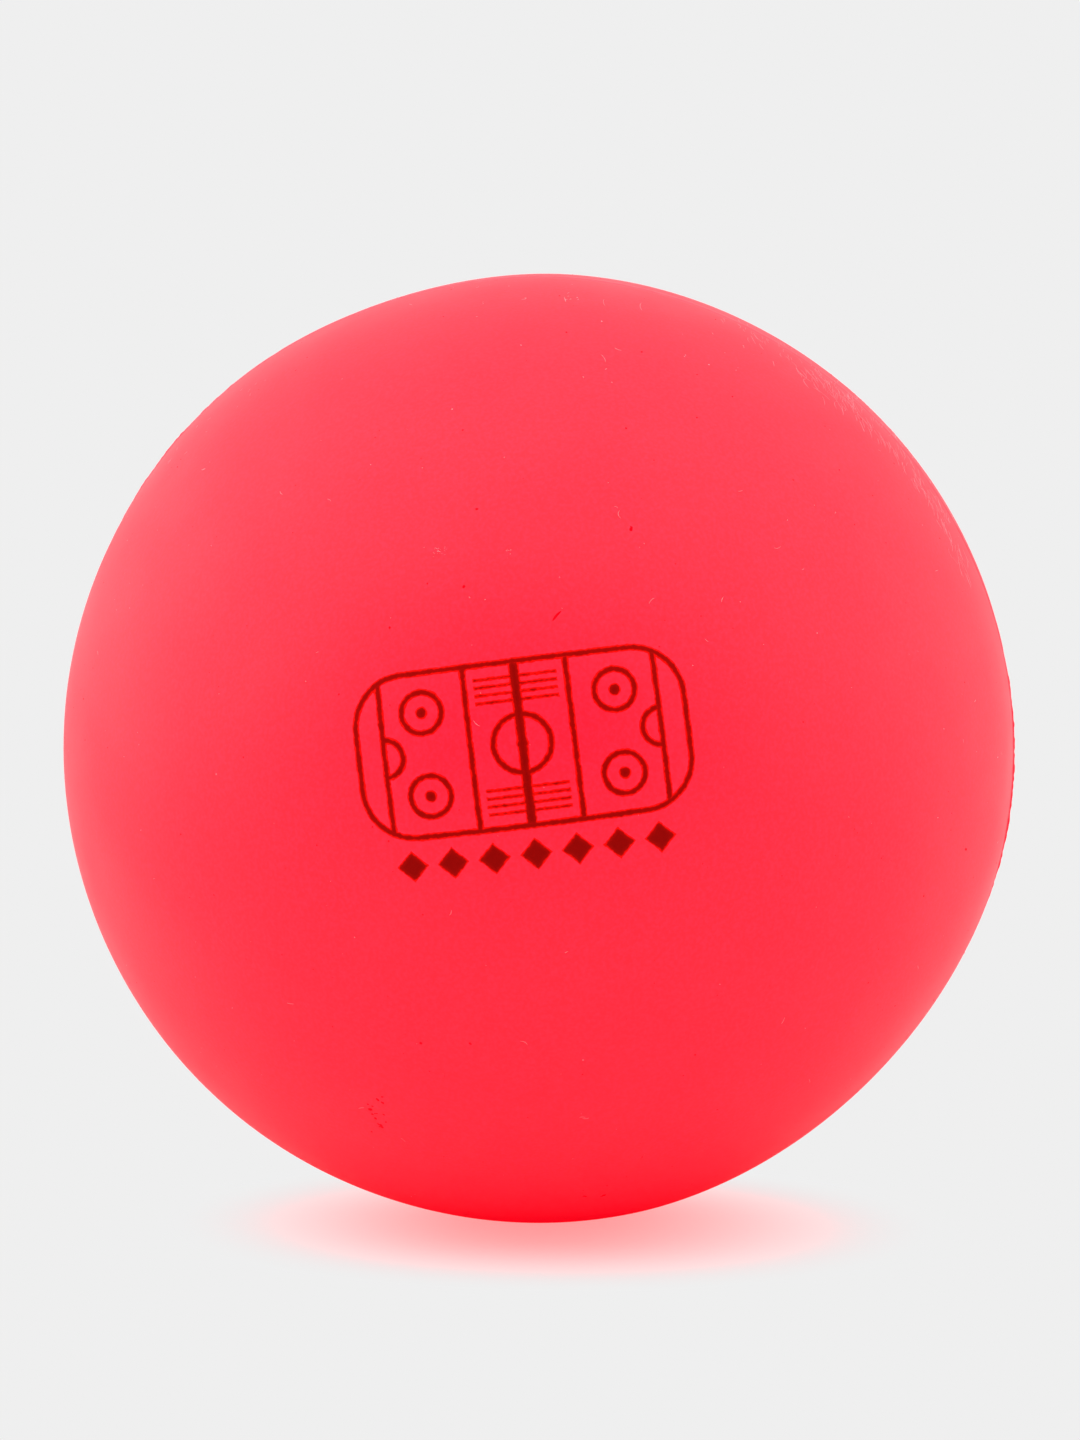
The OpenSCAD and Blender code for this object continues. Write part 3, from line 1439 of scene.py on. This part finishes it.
@dataclass(frozen=True)
class StudioFloor:
    """A plain pale floor with its own shadow and a painted red glow round the place where the ball lies.

    A painted glow, a red emission on the paper round the ball, stands in for the light that the neon
    ball sends down: it fills the paper's shadow, and lights the ball's underside. Beyond the painted
    glow, the camera sees the paper as even as the backdrop. From beneath it is clear, so that the
    underside of the ball can be looked at.
    Lengths are in millimetres, counted on the floor from the point under the ball's centre.
    """

    colour: str = "#dfdfdf"
    backdrop: str = "#efefef"
    # Painted glow: red emission round the ball, this one for the rays that light the ball, the next for the
    # camera
    glow: str = "#dc0026"
    seen_painted_glow: str = "#ff5a5a"
    seen_painted_glow_strength: float = 3.0
    seen_painted_glow_falloff: float = 1.25
    half_width: float = 1500.0
    painted_glow_middle: tuple[float, float, float] = (1.35, -4.15, 0.0)
    painted_glow_squash: float = 1.46
    painted_glow_reach: tuple[float, float] = (3.7, 26.9)

    def material(self) -> bpy.types.Material:
        """Builds the paper of the floor, with its painted glow.

        Returns:
            The material.
        """
        material = bpy.data.materials.new("backdrop_paper_matt")
        tree = empty_tree(material)
        offset = place_in_mm(tree)
        moves = (("SUBTRACT", self.painted_glow_middle), ("MULTIPLY", (1.0, self.painted_glow_squash, 0.0)))
        for operation, move in moves:
            offset = add_node(
                tree, "ShaderNodeVectorMath", {"operation": operation}, {0: offset, 1: move}
            ).outputs["Vector"]
        away = add_node(
            tree, "ShaderNodeVectorMath", {"operation": "LENGTH"}, {0: offset}
        ).outputs["Value"]
        near = add_node(
            tree,
            "ShaderNodeMapRange",
            {"interpolation_type": "SMOOTHSTEP"},
            {
                "Value": away,
                "From Min": self.painted_glow_reach[0],
                "From Max": self.painted_glow_reach[1],
                "To Min": 1.0,
                "To Max": 0.0,
            },
        ).outputs["Result"]
        strength = near
        for operation, value in (("POWER", self.seen_painted_glow_falloff), ("MULTIPLY", self.seen_painted_glow_strength)):
            strength = add_node(
                tree, "ShaderNodeMath", {"operation": operation}, {0: strength, 1: value}
            ).outputs["Value"]
        paper = add_node(
            tree, "ShaderNodeBsdfDiffuse", inputs={"Color": linear(self.colour)}
        ).outputs["BSDF"]
        # Painted glow: emission on the paper round the ball, which fills the paper's shadow and lights the
        # ball's underside
        tints = ((self.glow, 1.0), (self.backdrop, 1.0), (self.seen_painted_glow, strength))
        glow, even, seen_painted_glow = (
            add_node(
                tree, "ShaderNodeEmission", inputs={"Color": linear(tint), "Strength": power}
            ).outputs["Emission"]
            for tint, power in tints
        )
        shaded = add_node(tree, "ShaderNodeAddShader", inputs={0: paper, 1: seen_painted_glow}).outputs["Shader"]
        unseen, viewed = (
            add_node(tree, "ShaderNodeMixShader", inputs={0: near, 1: far, 2: close}).outputs["Shader"]
            for far, close in ((paper, glow), (even, shaded))
        )
        beneath = add_node(tree, "ShaderNodeNewGeometry").outputs["Backfacing"]
        clear = add_node(tree, "ShaderNodeBsdfTransparent").outputs["BSDF"]
        shader = unseen
        for share, other in ((plain_view(tree), viewed), (beneath, clear)):
            shader = add_node(
                tree, "ShaderNodeMixShader", inputs={0: share, 1: shader, 2: other}
            ).outputs["Shader"]
        add_node(tree, "ShaderNodeOutputMaterial", inputs={"Surface": shader})
        return material

    def build(self, height: float) -> None:
        """Lays the floor.

        Args:
            height: where it lies, in metres.
        """
        reach = self.half_width
        corners = np.array(((-reach, -reach, 0), (reach, -reach, 0), (reach, reach, 0), (-reach, reach, 0)))
        floor = make_piece("studio_floor", corners, [(0, 1, 2, 3)], self.material())
        floor.location.z = height
        floor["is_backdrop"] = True


# Single marks of one kind, by the pixel of the photograph that shows each of them
BRIGHT_DUST_PX: tuple[tuple[float, float], ...] = (
    (452.0, 409.0), (577.0, 297.0), (602.0, 321.0), (526.0, 298.0),
)

FAINT_DUST_PX: tuple[tuple[float, float], ...] = (
    (509.0, 286.0), (566.0, 299.0), (606.0, 369.0), (612.0, 382.0),
    (583.0, 377.0), (685.0, 355.0), (483.0, 303.0), (521.0, 345.0),
)

HIGH_GRIT_PX: tuple[tuple[float, float], ...] = (
    (566.0, 332.0), (697.0, 374.0), (697.0, 417.0), (626.0, 428.0),
    (642.0, 351.0), (732.0, 396.0),
)


def traces(form: BallForm, camera: ProductCamera) -> tuple[Flecks | Hairs, ...]:
    """Says what has settled on the skin, and where the photograph shows it.

    Each cluster gives its middle, its reach, its number of flecks and their radii.

    Args:
        form: the skin that the traces lie on.
        camera: the way from the photograph's pixels to the skin.

    Returns:
        The grit, the dust, the scuffs, and one nick of ink.
    """
    grit = Flecks(
        name="grit_flecks",
        finish=TraceFinish(Trace.GRIT),
        form=form,
        camera=camera,
        scattered=520,
        radii=(0.03, 0.085),
        clusters=(
            Cluster((374.0, 1104.0), (4.0, 6.0), 8, (0.08, 0.17)),
            Cluster((379.0, 1121.0), (5.0, 8.0), 10, (0.07, 0.15)),
            Cluster((585.0, 1196.0), (1.0, 0.8), 3, (0.08, 0.14)),
            Cluster((602.0, 1195.0), (1.0, 0.8), 3, (0.1, 0.17)),
            Cluster((464.0, 587.0), (0.5, 0.5), 1, (0.11, 0.12)),
            Cluster((631.0, 528.0), (0.4, 1.2), 3, (0.11, 0.14)),
            Cluster((477.0, 509.0), (1.2, 0.5), 3, (0.08, 0.11)),
            Cluster((548.0, 654.0), (0.6, 0.4), 2, (0.06, 0.08)),
            Cluster((389.0, 627.0), (0.4, 0.4), 1, (0.12, 0.13)),
            Cluster((966.0, 849.0), (1.0, 0.6), 3, (0.09, 0.12)),
            Cluster((974.0, 877.0), (0.4, 0.6), 1, (0.06, 0.07)),
            Cluster((421.0, 1044.0), (0.6, 0.6), 2, (0.09, 0.12)),
            Cluster((470.0, 1043.0), (0.6, 0.6), 2, (0.09, 0.12)),
            Cluster((840.0, 858.0), (26.0, 14.0), 9, (0.04, 0.07)),
            *(Cluster(place, (0.4, 0.4), 1, (0.08, 0.1)) for place in HIGH_GRIT_PX),
        ),
        seed=21,
    )
    dust = Flecks(
        name="dust_flecks",
        finish=TraceFinish(Trace.DUST),
        form=form,
        camera=camera,
        scattered=330,
        radii=(0.014, 0.04),
        clusters=(
            Cluster((438.0, 551.0), (5.0, 3.0), 22, (0.012, 0.026)),
            Cluster((438.5, 551.5), (1.0, 0.6), 2, (0.025, 0.035)),
            Cluster((508.0, 553.0), (1.6, 3.4), 9, (0.012, 0.026)),
            Cluster((469.0, 597.0), (0.6, 0.4), 2, (0.018, 0.03)),
            Cluster((559.0, 577.0), (0.8, 0.4), 2, (0.018, 0.03)),
            Cluster((811.0, 364.0), (0.6, 0.8), 2, (0.05, 0.07)),
            Cluster((708.0, 363.0), (0.5, 0.5), 1, (0.05, 0.06)),
            Cluster((943.0, 729.0), (0.5, 0.5), 1, (0.055, 0.065)),
            Cluster((998.0, 757.0), (0.5, 0.8), 2, (0.045, 0.06)),
            *(Cluster(place, (0.3, 0.3), 1, (0.06, 0.07)) for place in BRIGHT_DUST_PX),
            *(Cluster(place, (0.4, 0.6), 2, (0.025, 0.04)) for place in FAINT_DUST_PX),
        ),
        seed=22,
    )
    scuffs = Hairs(
        name="scuff_hairs",
        finish=TraceFinish(Trace.SCUFF),
        form=form,
        camera=camera,
        strokes=(
            Stroke((719.0, 314.0), (811.0, 366.0), 34, 4.0, -66.0, (0.6, 1.5), 0.022),
            Stroke((800.0, 362.0), (850.0, 402.0), 60, 5.0, -68.0, (0.7, 1.9), 0.022),
            Stroke((842.0, 392.0), (905.0, 452.0), 90, 6.0, -70.0, (0.7, 2.0), 0.022),
            Stroke((900.0, 448.0), (945.0, 520.0), 66, 5.0, -72.0, (0.7, 1.8), 0.022),
            Stroke((938.0, 512.0), (968.0, 580.0), 34, 3.0, -76.0, (0.6, 1.6), 0.022),
            Stroke.single((203.0, 469.0), 20.0, 0.44, 0.09),
            Stroke.single((281.0, 493.0), -50.0, 0.5, 0.06),
            Stroke.single((842.0, 410.0), -68.0, 1.7, 0.06),
            Stroke.single((862.0, 426.0), -68.0, 1.4, 0.05),
            Stroke.single((805.5, 382.0), -66.0, 1.5, 0.055),
            Stroke.single((820.0, 373.0), -66.0, 1.6, 0.05),
            Stroke.single((744.0, 346.0), -75.0, 0.6, 0.04),
            Stroke.single((774.0, 363.0), -76.0, 1.0, 0.04),
            Stroke.single((713.0, 333.0), -60.0, 0.3, 0.05),
            Stroke((572.0, 299.0), (572.0, 299.0), 4, 4.0, 30.0, (0.2, 0.35), 0.05),
            Stroke.single((524.0, 299.0), 10.0, 0.4, 0.05),
            Stroke.single((604.0, 302.0), -80.0, 1.6, 0.04),
            Stroke.single((641.0, 306.0), -82.0, 2.0, 0.04),
            Stroke.single((604.0, 358.0), -60.0, 1.0, 0.04),
            Stroke.single((618.0, 349.0), -20.0, 0.6, 0.04),
            Stroke.single((565.0, 299.0), -70.0, 1.2, 0.05),
            Stroke.single((975.0, 701.0), 60.0, 0.3, 0.05),
            Stroke.single((616.0, 507.0), -25.0, 0.3, 0.03),
            Stroke((150.0, 480.0), (260.0, 375.0), 14, 5.0, 50.0, (0.2, 0.6), 0.04),
        ),
        scattered=90,
        seed=23,
    )
    nick = Hairs(
        name="ink_nick",
        finish=TraceFinish(Trace.INK),
        form=form,
        camera=camera,
        strokes=(Stroke.single((556.5, 616.0), 49.0, 0.95, 0.19, play=0.01),),
        scattered=0,
        seed=24,
    )
    return grit, dust, scuffs, nick


def set_colours() -> None:
    """Shows the colours as they are, with no film look."""
    bpy.context.scene.view_settings.view_transform = "Standard"


def main() -> None:
    """Builds the camera, the ball and its surroundings, in that order."""
    logging.basicConfig(level=logging.INFO, format="%(message)s")
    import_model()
    packed_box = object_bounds()
    set_colours()
    camera = ProductCamera()
    camera.build()
    form = BallForm()
    report(VinylSkin(form).build())
    report(InkFilm(form, camera).build())
    for piece in traces(form, camera):
        report(piece.build())
    StudioFloor().build(packed_box[0][2])
    TentLight().build()


if __name__ == "__main__":
    main()
